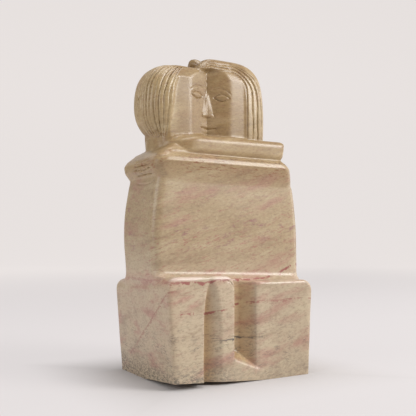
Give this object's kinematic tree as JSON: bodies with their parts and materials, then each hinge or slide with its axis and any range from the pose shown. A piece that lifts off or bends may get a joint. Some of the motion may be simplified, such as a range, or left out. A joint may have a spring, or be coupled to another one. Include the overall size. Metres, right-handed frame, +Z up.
{
  "type": "stone sculpture of a seated couple",
  "caption": "Tabletop stone carving of two seated figures who hold each other, faces joined at one seam, standing on their block of legs.",
  "frame": {"origin": "bottom centre of the whole carving, on its flat underside", "axes": "+Z up along the carving's height; the front faces -Y, the back +Y with the same grooves; +X is the taller head's side"},
  "size_m": [0.1493, 0.105, 0.279],
  "materials": {
    "waxed_soapstone": "waxed, softly polished cream and pink stone with red and grey veins"
  },
  "bodies": {
    "root": {"stone_carving": "waxed_soapstone"}
  },
  "joints": []
}
